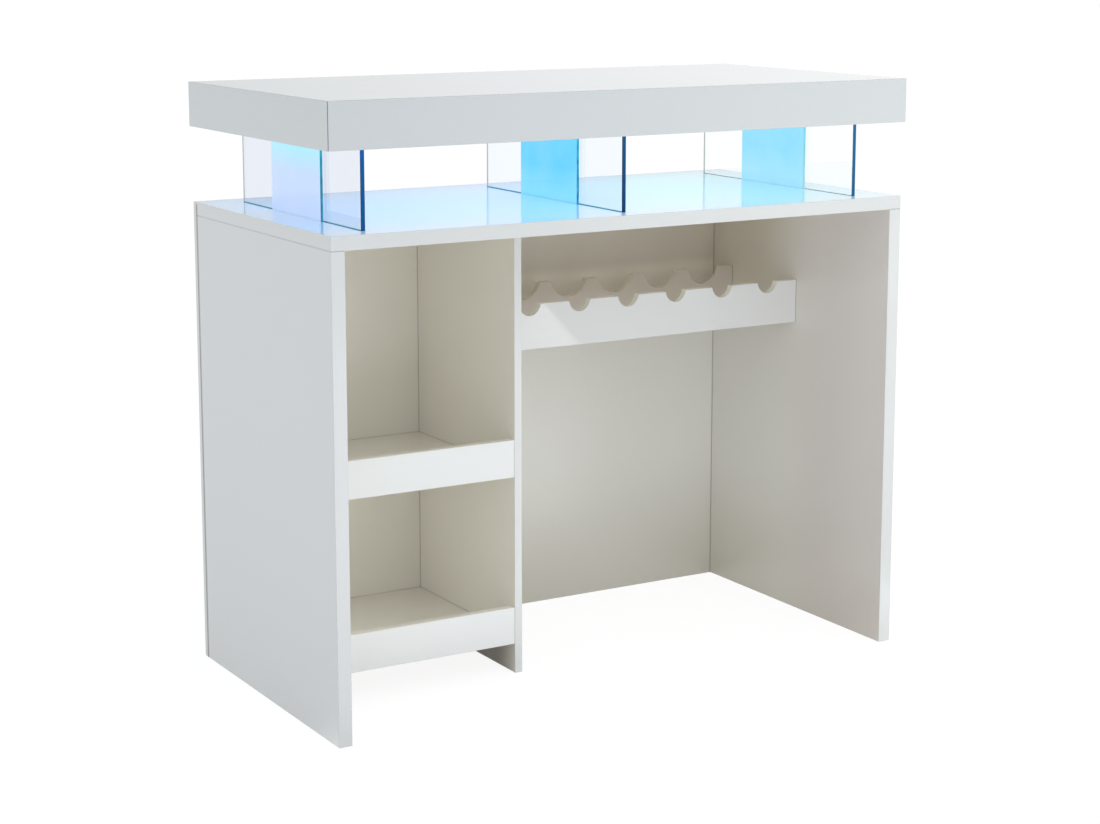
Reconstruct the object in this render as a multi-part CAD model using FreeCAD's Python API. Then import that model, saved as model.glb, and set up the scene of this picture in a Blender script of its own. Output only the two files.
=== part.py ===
import FreeCAD, Part
import math
import os

# Bar cabinet, millimetres. X runs along the bar and Y from the open working side to the guests' side.
# The origin is on the floor, under the middle of the top slab.

# Top slab: a hollow box of boards whose edges are folded together on mitres
slab_w = 1200.0
slab_d = 600.0
slab_t = 82.0
slab_board_t = 16.0
slab_corner_gap = 0.8
overhang_end = 4.0
overhang_front = 4.0

# Counter, side panels, divider and the guests' side panel
counter_h = 878.0
counter_t = 25.0
side_t = 25.0
facade_t = 15.0
divider_t = 15.0
divider_d = 383.0
left_bay_w = 434.0
arris = 0.6
band_t = 1.0

# Shelves of the left bay, measured from the floor to their undersides, and the lips in front of them
shelf_t = 15.0
lower_shelf_h = 57.0
upper_shelf_h = 377.0
lip_t = 15.0
lip_h = 71.0

# Bottle rack: a neck board with small notches and a body board with large ones behind it
rack_t = 15.0
rack_rear_gap = 54.0
rack_reach = 222.0
rack_h = 595.0
neck_board_h = 86.0
body_board_h = 88.0
bottle_pitch = 110.0
notch_end_land = 20.0
neck_r = 23.0
neck_depth = 21.5
body_r = 42.0
body_depth = 34.0
notch_ease = 3.0

# Gallery: glass panes that carry the slab, each with a frosted light plate on its left
gallery_h = 140.0
pane_t = 8.0
pane_end_margin = 42.5
pane_inset = 80.0
pane_seat = 6.0
pane_hold = 8.0
pane_edge = 0.8
seat_wall = 1.0
groove_fit = 0.1
groove_end = 0.5
plate_t = 5.0
plate_l = 205.0
plate_seat = 3.0
plate_clear = 1.2

# Lamps over the light plates
led_tape_w = 10.0
led_tape_t = 1.2
led_tail = 10.0
chip_w = 5.0
chip_h = 1.6
chip_pitch = 16.5
led_bar_w = 20.0
led_bar_t = 2.0
led_rebate_depth = 6.0
led_rebate_fit = 0.3

# Ribs inside the slab, one on each side of every lamp
rib_t = 16.0
rib_offset = 40.0
rib_notch_l = 54.0
rib_notch_h = 8.0

# Controller, flat leads and power inlet, all along the rear of the slab's hollow
controller_w = 90.0
controller_d = 48.0
controller_h = 22.0
controller_rib_gap = 78.0
controller_wall_gap = 6.0
controller_ease = 2.0
lead_w = 6.0
lead_t = 1.5
lead_spacing = 12.0
lead_corner_r = 4.0
inlet_flange_r = 8.0
inlet_flange_t = 1.5
inlet_body_r = 5.5
inlet_body_h = 8.0
inlet_bore_r = 3.2
inlet_bore_depth = 12.0
inlet_pin_r = 1.0
inlet_pin_l = 9.0
inlet_fit = 0.1

# Hidden connectors. Each is drawn with flats, because there are many and none is seen in use.
pin_sides = 8
cam_sides = 16
cam_r = 7.5
cam_setback = 34.0
cam_below = 5.0
cam_slot_w = 1.6
cam_slot_depth = 1.5
cam_fit = 0.1
bolt_thread_r = 2.5
bolt_thread_l = 11.0
bolt_shank_r = 3.0
bolt_head_r = 3.5
bolt_head_l = 8.0
bolt_bore_r = 4.0
cap_t = 1.0
dowel_r = 4.0
dowel_in_edge = 20.0
dowel_in_face = 10.0
dowel_end_gap = 1.0
dowel_fit = 0.1

# One overrun serves every cut that runs out of a board
overrun = 5.0

# Shares of a joint's length at which its connectors sit
panel_cam_shares = (0.12, 0.88)
panel_dowel_shares = (0.3, 0.7)
divider_cam_shares = (0.5,)
divider_dowel_shares = (0.15, 0.85)
facade_dowel_shares = (0.1, 0.37, 0.63, 0.9)
shelf_cam_shares = (0.2, 0.8)
shelf_dowel_shares = (0.5,)
lip_dowel_shares = (0.25, 0.75)
rack_dowel_shares = (0.28, 0.72)

V = FreeCAD.Vector
X, Y, Z = V(1, 0, 0), V(0, 1, 0), V(0, 0, 1)

# Places that follow from the sizes above
slab_x = slab_w / 2
slab_y = slab_d / 2
base_x = slab_x - overhang_end
front_y = -slab_y + overhang_front
rear_y = slab_y
facade_y = rear_y - facade_t
side_h = counter_h - counter_t
slab_z = counter_h + gallery_h
top_z = slab_z + slab_t
panel_z = slab_z + slab_board_t
hollow_x = slab_x - slab_board_t
hollow_y = slab_y - slab_board_t
hollow_z = top_z - slab_board_t
left_x = -base_x + side_t
right_x = base_x - side_t
divider_x = left_x + left_bay_w
divider_right_x = divider_x + divider_t
divider_y = facade_y - divider_d
shelf_y = divider_y + lip_t
body_y = facade_y - rack_rear_gap - rack_t
neck_y = body_y - rack_reach
rack_mid_x = (divider_right_x + right_x) / 2
notch_room = right_x - divider_right_x - 2 * (body_r + notch_end_land)
bottle_count = int(notch_room / bottle_pitch) + 1
gallery_y = (front_y + facade_y) / 2
pane_l = facade_y - front_y - 2 * pane_end_margin
pane_spacing = base_x - pane_inset
pane_places = (-pane_spacing, 0.0, pane_spacing)
pane_names = ("left", "middle", "right")
groove_half = pane_t / 2 + seat_wall + groove_fit
plate_top_z = panel_z - led_tape_t - chip_h - plate_clear
controller_x1 = pane_spacing - rib_offset - rib_t / 2 - controller_rib_gap
controller_x0 = controller_x1 - controller_w
controller_y1 = hollow_y - controller_wall_gap
rear_lead_y = controller_y1 - controller_d / 2


def board(x0, x1, y0, y1, z0, z1):
    """A board with every sharp edge taken off."""
    box = Part.makeBox(x1 - x0, y1 - y0, z1 - z0, V(x0, y0, z0))
    return box.makeChamfer(arris, box.Edges)


def block(x0, x1, y0, y1, z0, z1):
    """A plain box between two corners."""
    return Part.makeBox(x1 - x0, y1 - y0, z1 - z0, V(x0, y0, z0))


def mitred_board(outer, inner):
    """A board between two four-cornered faces, with slanted edges wherever the faces differ."""
    faces = [outer, inner]
    for here in range(len(outer)):
        after = (here + 1) % len(outer)
        faces.append([outer[here], outer[after], inner[after], inner[here]])
    shell = Part.makeShell([Part.Face(Part.makePolygon(f + f[:1])) for f in faces])
    solid = Part.makeSolid(shell)
    if solid.Volume < 0:
        solid.reverse()
    return solid


def prism(sides, radius, length, start, direction):
    """A straight pin with flats, from start along direction."""
    turn = 2 * math.pi / sides
    angles = [turn * (n + 0.5) for n in range(sides)]
    corners = [V(radius * math.cos(a), radius * math.sin(a), 0) for a in angles]
    solid = Part.Face(Part.makePolygon(corners + corners[:1])).extrude(Z * length)
    solid.Placement = FreeCAD.Placement(start, FreeCAD.Rotation(Z, direction))
    return solid


def along(start, end, shares):
    """Places between two values at the given shares."""
    return [start + (end - start) * share for share in shares]


# Connectors. A seat is the point where the middle of a board's edge meets the face of the next board,
# the way into the first board, and the way from its middle to the face that takes the cam.


def panel_seats(x, inward):
    """Seats along the top and rear edges of one side panel."""
    top = [(V(x, y, side_h), -Z, inward) for y in along(front_y, facade_y, panel_cam_shares)]
    rear = [(V(x, facade_y, z), -Y, inward) for z in along(0, side_h, panel_cam_shares)]
    return top + rear


def shelf_seats(shares):
    """Seats at both ends of both shelves."""
    seats = []
    for z in (lower_shelf_h + shelf_t / 2, upper_shelf_h + shelf_t / 2):
        for y in along(shelf_y, facade_y, shares):
            seats.append((V(left_x, y, z), X, -Z))
            seats.append((V(divider_x, y, z), -X, -Z))
    return seats


side_mid_x = base_x - side_t / 2
divider_mid_x = divider_x + divider_t / 2
panel_cam_seats = panel_seats(-side_mid_x, X) + panel_seats(side_mid_x, -X)
divider_cam_seats = [
    (V(divider_mid_x, y, side_h), -Z, X) for y in along(divider_y, facade_y, divider_cam_shares)
]
cam_seats = (
    [(seat, side_t) for seat in panel_cam_seats]
    + [(seat, divider_t) for seat in divider_cam_seats]
    + [(seat, shelf_t) for seat in shelf_seats(shelf_cam_shares)]
)


def dowel_seats():
    """Every dowel's seat and its way into the board whose edge it enters."""
    seats = []
    for x in (-side_mid_x, side_mid_x):
        seats += [(V(x, y, side_h), -Z) for y in along(front_y, facade_y, panel_dowel_shares)]
        seats += [(V(x, facade_y, z), -Y) for z in along(0, side_h, panel_dowel_shares)]
    seats += [(V(divider_mid_x, y, side_h), -Z) for y in along(divider_y, facade_y, divider_dowel_shares)]
    seats += [(V(divider_mid_x, facade_y, z), -Y) for z in along(0, side_h, divider_dowel_shares)]
    counter_mid_z = counter_h - counter_t / 2
    seats += [(V(x, facade_y, counter_mid_z), -Y) for x in along(-base_x, base_x, facade_dowel_shares)]
    seats += [(point, into) for point, into, _ in shelf_seats(shelf_dowel_shares)]
    for z in (lower_shelf_h + shelf_t / 2, upper_shelf_h + shelf_t / 2):
        seats += [(V(x, shelf_y, z), Y) for x in along(left_x, divider_x, lip_dowel_shares)]
    for y, height in ((neck_y, neck_board_h), (body_y, body_board_h)):
        for z in along(rack_h, rack_h + height, rack_dowel_shares):
            seats.append((V(divider_right_x, y + rack_t / 2, z), X))
            seats.append((V(right_x, y + rack_t / 2, z), -X))
    return seats


def cam_plug(seat, thickness, radius, cover):
    """A round plug in a cam's place, as deep as the cam's pocket less the cover left over it."""
    point, into, face = seat
    depth = thickness / 2 + cam_below - cover
    start = point + into * cam_setback + face * (thickness / 2 - cover)
    return prism(cam_sides, radius, depth, start, -face)


def drillings():
    """Everything that is drilled for the connectors."""
    cuts = []
    for seat, thickness in cam_seats:
        point, into, _ = seat
        cuts.append(cam_plug(seat, thickness, cam_r + cam_fit, 0))
        cuts.append(prism(pin_sides, bolt_bore_r, cam_setback, point, into))
        cuts.append(prism(pin_sides, bolt_thread_r, bolt_thread_l, point, -into))
    for point, into in dowel_seats():
        cuts.append(prism(pin_sides, dowel_r + dowel_fit, dowel_in_edge + dowel_end_gap, point, into))
        cuts.append(prism(pin_sides, dowel_r + dowel_fit, dowel_in_face + dowel_end_gap, point, -into))
    return cuts


all_drillings = drillings()


def drilled(solid):
    """The board with those drillings that reach into it."""
    reached = [cut for cut in all_drillings if solid.BoundBox.intersect(cut.BoundBox)]
    return solid.cut(reached) if reached else solid


def cam_locks():
    """Turning cams with a screwdriver slot and the mouth that takes the bolt's head."""
    cams = []
    for seat, thickness in cam_seats:
        point, into, face = seat
        centre = point + into * cam_setback
        cam = cam_plug(seat, thickness, cam_r, cap_t)
        mouth_l = cam_r + bolt_head_r
        mouth = prism(pin_sides, bolt_head_r + cam_fit, mouth_l, centre - into * cam_r, into)
        slot_corner = V(-cam_slot_w / 2, -cam_r / 2, -cam_slot_depth)
        slot = Part.makeBox(cam_slot_w, cam_r, cam_slot_depth, slot_corner)
        slot.Placement = FreeCAD.Placement(centre + face * (thickness / 2 - cap_t), FreeCAD.Rotation(Z, face))
        cams.append(cam.cut([mouth, slot]))
    return cams


def cam_bolts():
    """Steel bolts, screwed into one board and caught by the cam in the other."""
    bolts = []
    head_start = cam_setback + bolt_head_r - bolt_head_l
    for (point, into, _), _ in cam_seats:
        thread = prism(pin_sides, bolt_thread_r, bolt_thread_l, point, -into)
        shank = prism(pin_sides, bolt_shank_r, head_start, point, into)
        head = prism(pin_sides, bolt_head_r, bolt_head_l, point + into * head_start, into)
        bolts.append(thread.fuse([shank, head]))
    return bolts


def cam_caps():
    """Flush cover caps over the cams of the upright boards."""
    caps = []
    for (point, into, face), thickness in cam_seats:
        if face != -Z:
            start = point + into * cam_setback + face * (thickness / 2 - cap_t)
            caps.append(prism(cam_sides, cam_r, cap_t, start, face))
    return caps


def dowels():
    """Wooden dowels between the boards."""
    length = dowel_in_edge + dowel_in_face
    seats = dowel_seats()
    return [prism(pin_sides, dowel_r, length, point - into * dowel_in_face, into) for point, into in seats]


# Grooves for the gallery


def pane_groove(x, z0, z1):
    """The groove that holds a pane and the seating strip round its edge."""
    half = pane_l / 2 + groove_end
    return block(x - groove_half, x + groove_half, gallery_y - half, gallery_y + half, z0, z1)


def plate_groove(x, z0, z1):
    """The wider part of the groove, which holds the light plate beside the pane."""
    half = plate_l / 2 + groove_fit
    x0 = x - groove_half - plate_t - groove_fit
    return block(x0, x - groove_half, gallery_y - half, gallery_y + half, z0, z1)


def plate_mid(x):
    """The middle of the light plate's thickness."""
    return x - groove_half - plate_t / 2


# Boards of the base


def side_panel(x0):
    """One side panel, floor to counter, behind its front edge band."""
    return drilled(board(x0, x0 + side_t, front_y + band_t, facade_y, 0, side_h))


def counter_board():
    """The counter, which lies on the side panels and holds the feet of the panes."""
    solid = board(-base_x, base_x, front_y + band_t, facade_y, side_h, counter_h)
    cuts = []
    for x in pane_places:
        cuts.append(pane_groove(x, counter_h - pane_seat, counter_h + overrun))
        cuts.append(plate_groove(x, counter_h - plate_seat, counter_h + overrun))
    return drilled(solid.cut(cuts))


def facade_panel():
    """The guests' side panel, which covers the rear edges from the floor to the counter's top."""
    return drilled(board(-base_x, base_x, facade_y, rear_y, 0, counter_h))


def divider_panel():
    """The upright between the shelves and the open bay, set back from the front."""
    return drilled(board(divider_x, divider_right_x, divider_y + band_t, facade_y, 0, side_h))


def shelf(z):
    """One shelf of the left bay."""
    return drilled(board(left_x, divider_x, shelf_y, facade_y, z, z + shelf_t))


def lip(z):
    """The lip in front of a shelf, flush with its underside."""
    return drilled(board(left_x, divider_x, divider_y, shelf_y, z, z + lip_h))


def edge_bands():
    """Edge bands on the front edges of the side panels, the counter and the divider."""
    y1 = front_y + band_t
    return [
        block(-base_x, left_x, front_y, y1, 0, side_h),
        block(right_x, base_x, front_y, y1, 0, side_h),
        block(-base_x, base_x, front_y, y1, side_h, counter_h),
        block(divider_x, divider_right_x, divider_y, divider_y + band_t, 0, side_h),
    ]


# Bottle rack


def notch(x, top, radius, depth):
    """The tool that cuts one bottle notch: a round bottom whose mouth is eased where it meets the top."""
    centre_z = top - depth + radius
    drop = centre_z - top
    reach = math.sqrt((radius + notch_ease) ** 2 - (drop + notch_ease) ** 2)
    share = radius / (radius + notch_ease)
    touch_x = reach * share
    touch_z = centre_z - (drop + notch_ease) * share
    half_turn = math.acos((drop + notch_ease) / (radius + notch_ease)) / 2
    bend_x = reach - notch_ease * math.sin(half_turn)
    bend_z = top - notch_ease + notch_ease * math.cos(half_turn)
    left_foot, right_foot = V(x - reach, 0, top), V(x + reach, 0, top)
    left_touch, right_touch = V(x - touch_x, 0, touch_z), V(x + touch_x, 0, touch_z)
    edges = [
        Part.Arc(left_foot, V(x - bend_x, 0, bend_z), left_touch).toShape(),
        Part.Arc(left_touch, V(x, 0, top - depth), right_touch).toShape(),
        Part.Arc(right_touch, V(x + bend_x, 0, bend_z), right_foot).toShape(),
        Part.makeLine(right_foot, V(x + reach, 0, top + overrun)),
        Part.makeLine(V(x + reach, 0, top + overrun), V(x - reach, 0, top + overrun)),
        Part.makeLine(V(x - reach, 0, top + overrun), left_foot),
    ]
    return Part.Face(Part.Wire(edges))


def rack_board(y, height, radius, depth):
    """One board of the rack with its row of notches."""
    top = rack_h + height
    solid = block(divider_right_x, right_x, y, y + rack_t, rack_h, top)
    first = rack_mid_x - bottle_pitch * (bottle_count - 1) / 2
    cuts = []
    for n in range(bottle_count):
        face = notch(first + n * bottle_pitch, top, radius, depth)
        face.translate(Y * (y - overrun))
        cuts.append(face.extrude(Y * (rack_t + 2 * overrun)))
    return drilled(solid.cut(cuts))


# Gallery


def glass_pane(x):
    """One clear pane, standing in the counter and held in the slab."""
    z0 = counter_h - pane_seat + seat_wall
    z1 = slab_z + pane_hold - seat_wall
    y0, y1 = gallery_y - pane_l / 2, gallery_y + pane_l / 2
    pane = block(x - pane_t / 2, x + pane_t / 2, y0, y1, z0, z1)
    uprights = [e for e in pane.Edges if abs(e.BoundBox.ZLength - (z1 - z0)) < pane_edge]
    return pane.makeChamfer(pane_edge, uprights)


def seat_strips(z0, z1, open_z0, open_z1):
    """Clear strips folded round one edge of every pane, open between open_z0 and open_z1."""
    strips = []
    y0, y1 = gallery_y - pane_l / 2, gallery_y + pane_l / 2
    for x in pane_places:
        half = pane_t / 2 + seat_wall
        outside = block(x - half, x + half, y0, y1, z0, z1)
        inside = block(x - pane_t / 2, x + pane_t / 2, y0 - overrun, y1 + overrun, open_z0, open_z1)
        strips.append(outside.cut(inside))
    return strips


def light_plate(x):
    """One frosted plate, lit through its top edge."""
    mid = plate_mid(x)
    y0, y1 = gallery_y - plate_l / 2, gallery_y + plate_l / 2
    return block(mid - plate_t / 2, mid + plate_t / 2, y0, y1, counter_h - plate_seat, plate_top_z)


def led_strip(x):
    """A tape of lamps facing down, with a bare tail for its lead."""
    mid = plate_mid(x)
    y0, y1 = gallery_y - plate_l / 2, gallery_y + plate_l / 2
    tape = block(mid - led_tape_w / 2, mid + led_tape_w / 2, y0, y1 + led_tail, panel_z - led_tape_t, panel_z)
    count = int((plate_l - chip_w) / chip_pitch) + 1
    first = gallery_y - chip_pitch * (count - 1) / 2
    chip_z = panel_z - led_tape_t - chip_h
    chips = []
    for n in range(count):
        y = first + n * chip_pitch
        chip = Part.makeBox(chip_w, chip_w, chip_h, V(mid - chip_w / 2, y - chip_w / 2, chip_z))
        chips.append(chip)
    return tape.fuse(chips)


def led_bar(x):
    """The aluminium bar that lies over the slot and carries the lamps."""
    mid = plate_mid(x)
    y0, y1 = gallery_y - plate_l / 2, gallery_y + plate_l / 2
    return block(mid - led_bar_w / 2, mid + led_bar_w / 2, y0, y1, panel_z, panel_z + led_bar_t)


# Top slab


def corners_z(x, y, z):
    """Four corners of a level face."""
    return [V(-x, -y, z), V(x, -y, z), V(x, y, z), V(-x, y, z)]


def slab_top_panel():
    """The slab's upper board, mitred on all four edges."""
    return mitred_board(corners_z(slab_x, slab_y, top_z), corners_z(hollow_x, hollow_y, hollow_z))


def long_fascia(side):
    """The front (side -1) or rear (side 1) edge board of the slab."""
    x = slab_x - slab_corner_gap
    outer = [V(-x, side * slab_y, slab_z), V(x, side * slab_y, slab_z)]
    outer += [V(x, side * slab_y, top_z), V(-x, side * slab_y, top_z)]
    inner = [V(-hollow_x, side * hollow_y, slab_z), V(hollow_x, side * hollow_y, slab_z)]
    inner += [V(hollow_x, side * hollow_y, hollow_z), V(-hollow_x, side * hollow_y, hollow_z)]
    return mitred_board(outer, inner)


def end_fascia(side):
    """The left (side -1) or right (side 1) edge board of the slab."""
    y = slab_y - slab_corner_gap
    outer = [V(side * slab_x, -y, slab_z), V(side * slab_x, y, slab_z)]
    outer += [V(side * slab_x, y, top_z), V(side * slab_x, -y, top_z)]
    inner = [V(side * hollow_x, -hollow_y, slab_z), V(side * hollow_x, hollow_y, slab_z)]
    inner += [V(side * hollow_x, hollow_y, hollow_z), V(side * hollow_x, -hollow_y, hollow_z)]
    return mitred_board(outer, inner)


def led_rebate(x):
    """The wider, upper part of a light slot, in which the lamps hang."""
    mid = plate_mid(x)
    half = led_tape_w / 2 + led_rebate_fit
    y0 = gallery_y - plate_l / 2 - led_rebate_fit
    y1 = gallery_y + plate_l / 2 + led_tail + led_rebate_fit
    return block(mid - half, mid + half, y0, y1, panel_z - led_rebate_depth, panel_z + overrun)


def inlet_place(z):
    """The power inlet's axis, midway between the right pane's rear end and the rear fascia."""
    return V(pane_spacing, (gallery_y + pane_l / 2 + hollow_y) / 2, z)


def slab_bottom_panel():
    """The slab's lower board, with the grooves, light slots and inlet hole."""
    solid = block(-hollow_x, hollow_x, -hollow_y, hollow_y, slab_z, panel_z)
    cuts = []
    for x in pane_places:
        cuts.append(pane_groove(x, slab_z - overrun, slab_z + pane_hold))
        cuts.append(plate_groove(x, slab_z - overrun, panel_z))
        cuts.append(led_rebate(x))
    length = slab_board_t + 2 * overrun
    cuts.append(Part.makeCylinder(inlet_body_r + inlet_fit, length, inlet_place(slab_z - overrun)))
    return solid.cut(cuts)


def slab_rib(x):
    """A rib from fascia to fascia, notched at the rear for the leads."""
    rib = block(x - rib_t / 2, x + rib_t / 2, -hollow_y, hollow_y, panel_z, hollow_z)
    y0, z1 = hollow_y - rib_notch_l, panel_z + rib_notch_h
    return rib.cut(block(x - rib_t, x + rib_t, y0, hollow_y + overrun, panel_z - overrun, z1))


# Power


def led_controller():
    """The controller's case, standing on the slab's lower board."""
    y0 = controller_y1 - controller_d
    case = block(controller_x0, controller_x1, y0, controller_y1, panel_z, panel_z + controller_h)
    top_edges = [e for e in case.Edges if e.BoundBox.ZMin > panel_z]
    return case.makeFillet(controller_ease, top_edges)


def flat_lead(x0, y0, x1, y1):
    """A flat lead from (x0, y0) straight back to y1 and then along X to x1, with a rounded turn."""
    way = 1 if x1 > x0 else -1
    half = lead_w / 2
    back = block(x0 - half, x0 + half, y0, y1 + half, panel_z, panel_z + lead_t)
    side_x0, side_x1 = sorted((x0 - way * half, x1))
    side = block(side_x0, side_x1, y1 - half, y1 + half, panel_z, panel_z + lead_t)
    lead = back.fuse(side).removeSplitter()
    outer = V(x0 - way * half, y1 + half, panel_z)
    turn = [e for e in lead.Edges if abs(e.BoundBox.ZLength - lead_t) < groove_fit and near(e, outer)]
    return lead.makeFillet(lead_corner_r, turn)


def near(edge, point):
    """Whether an upright edge stands on the given point."""
    return math.hypot(edge.BoundBox.XMin - point.x, edge.BoundBox.YMin - point.y) < groove_fit


def led_leads():
    """Flat leads from the controller to the three lamps and to the power inlet."""
    tail_y = gallery_y + plate_l / 2 + groove_end
    left, middle, right = (plate_mid(x) for x in pane_places)
    leads = [
        flat_lead(left, tail_y, controller_x0, rear_lead_y + lead_spacing / 2),
        flat_lead(middle, tail_y, controller_x0, rear_lead_y - lead_spacing / 2),
        flat_lead(right, tail_y, controller_x1, rear_lead_y - lead_spacing),
    ]
    inlet = inlet_place(panel_z)
    y0 = inlet.y - lead_w / 2
    power = block(controller_x1, inlet.x, y0, y0 + lead_w, panel_z, panel_z + lead_t)
    body = Part.makeCylinder(inlet_body_r, inlet_body_h, inlet)
    leads.append(power.cut(body))
    return leads


def power_inlet():
    """A round inlet with a centre pin, open at the slab's underside."""
    base = inlet_place(slab_z - inlet_flange_t)
    flange = Part.makeCylinder(inlet_flange_r, inlet_flange_t, base)
    body_l = inlet_flange_t + slab_board_t + inlet_body_h
    body = Part.makeCylinder(inlet_body_r, body_l, base)
    bore = Part.makeCylinder(inlet_bore_r, inlet_bore_depth, base)
    pin = prism(pin_sides, inlet_pin_r, inlet_pin_l, base + Z * (inlet_bore_depth - inlet_pin_l), Z)
    return flange.fuse(body).cut(bore).fuse(pin)


def all_parts():
    """Every named piece and its solids."""
    parts = {
        "left_side_panel": [side_panel(-base_x)],
        "right_side_panel": [side_panel(right_x)],
        "counter_board": [counter_board()],
        "facade_panel": [facade_panel()],
        "divider_panel": [divider_panel()],
        "front_edge_bands": edge_bands(),
        "upper_shelf": [shelf(upper_shelf_h)],
        "lower_shelf": [shelf(lower_shelf_h)],
        "upper_shelf_lip": [lip(upper_shelf_h)],
        "lower_shelf_lip": [lip(lower_shelf_h)],
        "rack_neck_board": [rack_board(neck_y, neck_board_h, neck_r, neck_depth)],
        "rack_body_board": [rack_board(body_y, body_board_h, body_r, body_depth)],
        "slab_top_panel": [slab_top_panel()],
        "slab_front_fascia": [long_fascia(-1)],
        "slab_rear_fascia": [long_fascia(1)],
        "slab_left_fascia": [end_fascia(-1)],
        "slab_right_fascia": [end_fascia(1)],
        "slab_bottom_panel": [slab_bottom_panel()],
        "led_controller": [led_controller()],
        "led_leads": led_leads(),
        "power_inlet": [power_inlet()],
        "cam_locks": cam_locks(),
        "cam_bolts": cam_bolts(),
        "cam_caps": cam_caps(),
        "dowels": dowels(),
    }
    seat_z = counter_h - pane_seat
    hold_z = slab_z + pane_hold
    parts["lower_seat_strips"] = seat_strips(seat_z, counter_h, seat_z + seat_wall, counter_h + overrun)
    parts["upper_seat_strips"] = seat_strips(slab_z, hold_z, slab_z - overrun, hold_z - seat_wall)
    for name, x in zip(pane_names, pane_places):
        parts[f"glass_pane_{name}"] = [glass_pane(x)]
        parts[f"light_plate_{name}"] = [light_plate(x)]
        parts[f"led_strip_{name}"] = [led_strip(x)]
        parts[f"led_bar_{name}"] = [led_bar(x)]
        parts[f"slab_rib_{name}_1"] = [slab_rib(x - rib_offset)]
        parts[f"slab_rib_{name}_2"] = [slab_rib(x + rib_offset)]
    return parts


def main():
    os.makedirs("parts", exist_ok=True)
    for name, solids in all_parts().items():
        shape = solids[0] if len(solids) == 1 else Part.makeCompound(solids)
        shape.exportStep(f"parts/{name}.step")
        print(name, len(shape.Solids), shape.isValid(), round(shape.Volume))


main()
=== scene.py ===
import math

import bmesh
import bpy
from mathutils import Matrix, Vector


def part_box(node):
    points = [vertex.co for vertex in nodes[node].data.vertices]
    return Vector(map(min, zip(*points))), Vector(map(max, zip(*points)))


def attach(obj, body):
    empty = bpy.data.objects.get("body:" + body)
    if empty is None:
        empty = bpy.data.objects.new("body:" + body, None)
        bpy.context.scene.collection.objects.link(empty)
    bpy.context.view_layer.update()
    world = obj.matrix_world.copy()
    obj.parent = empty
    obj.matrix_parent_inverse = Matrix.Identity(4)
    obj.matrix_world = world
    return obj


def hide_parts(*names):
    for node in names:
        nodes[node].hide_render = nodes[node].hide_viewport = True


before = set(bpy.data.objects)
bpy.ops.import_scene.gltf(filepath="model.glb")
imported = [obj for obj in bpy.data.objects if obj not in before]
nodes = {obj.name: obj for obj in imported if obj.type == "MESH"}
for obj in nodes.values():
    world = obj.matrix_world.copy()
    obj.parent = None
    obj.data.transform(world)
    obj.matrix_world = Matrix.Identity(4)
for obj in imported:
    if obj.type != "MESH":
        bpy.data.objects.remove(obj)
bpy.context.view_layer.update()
scene = bpy.context.scene

# Bar cabinet, metres. X runs along the bar, Y from the open working side to the guests' side.
# The origin is on the floor, under the middle of the top slab.


# Places of the boards that the materials and lamps need

# Half the slab's length, its underside, and the counter's two faces
SLAB_END_X = 0.6
SLAB_FOOT = 1.018
COUNTER_TOP = 0.878
COUNTER_FOOT = 0.853
# The side panels' inner faces, the divider's two faces, and the guests' side panel's front
SIDE_INNER_X = 0.571
DIVIDER_X = (-0.137, -0.122)
FACADE_Y = 0.285
SHELF_TOPS = (0.072, 0.392)
# The bottle rack's height, and the fronts of its two boards
RACK_FOOT = 0.595
RACK_TOP = 0.683
RACK_FRONTS_Y = (-0.006, 0.216)
# A face counts as inside a limit up to this far beyond it
SLACK = 0.0003


# Colours


def srgb(red, green, blue):
    """A colour given in display values from 0 to 255, as the renderer's linear values."""
    linear = []
    for value in (red, green, blue):
        share = value / 255
        linear.append(share / 12.92 if share <= 0.04045 else ((share + 0.055) / 1.055) ** 2.4)
    return (*linear, 1.0)


def shaded(color, shade):
    """A colour with a share of its own for red, green and blue."""
    return tuple(c * k for c, k in zip(color, shade)) + (1.0,)


def dimmed(color, share):
    """A colour with the same share of red, green and blue."""
    return shaded(color, (share, share, share))


BLACK = (0.0, 0.0, 0.0, 1.0)
WHITE = (1.0, 1.0, 1.0, 1.0)
# The whites are all one lacquer, at levels of painted light and shade: each part is set
# lighter or darker for the light that falls on it, the insides warm where they lie in shade,
# the bay whiter, the rack's rear board and its notches darker, the front board's notches lighter.
LACQUER = srgb(229, 230, 230)
LACQUER_INSIDE = srgb(240, 236, 226)
LACQUER_BAY = srgb(243, 241, 235)
SLAB_LACQUER = srgb(222, 225, 226)
SLAB_TOP = srgb(232, 235, 236)
BAND_WHITE = srgb(233, 234, 233)
LIP_WHITE = srgb(239, 240, 239)
LOWER_LIP_WHITE = srgb(250, 250, 249)
RACK_WHITE = srgb(236, 236, 235)
BODY_SHADED_WHITE = srgb(210, 200, 186)
BODY_NOTCH_SHADED_WHITE = srgb(240, 232, 218)
NECK_NOTCH_LIT_WHITE = srgb(255, 252, 240)
JOINT_SHADE = srgb(96, 90, 78)
LIGHT_TINT = (0.955, 0.992, 1.012)

# Painted light: levels of red, green and blue at the bar's left and right end, on fronts and on the
# slab's top, darker to the left and lighter to the right
FRONT_PAINTED_LIGHT = ((0.89, 0.89, 0.90), (1.09, 1.08, 1.07))
TOP_PAINTED_LIGHT = ((0.945, 0.985, 0.985), (1.01, 1.01, 1.02))


# Materials


# How far the soft normals of a board reach from its sharp edges
EDGE_RADIUS = 0.0009


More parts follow.
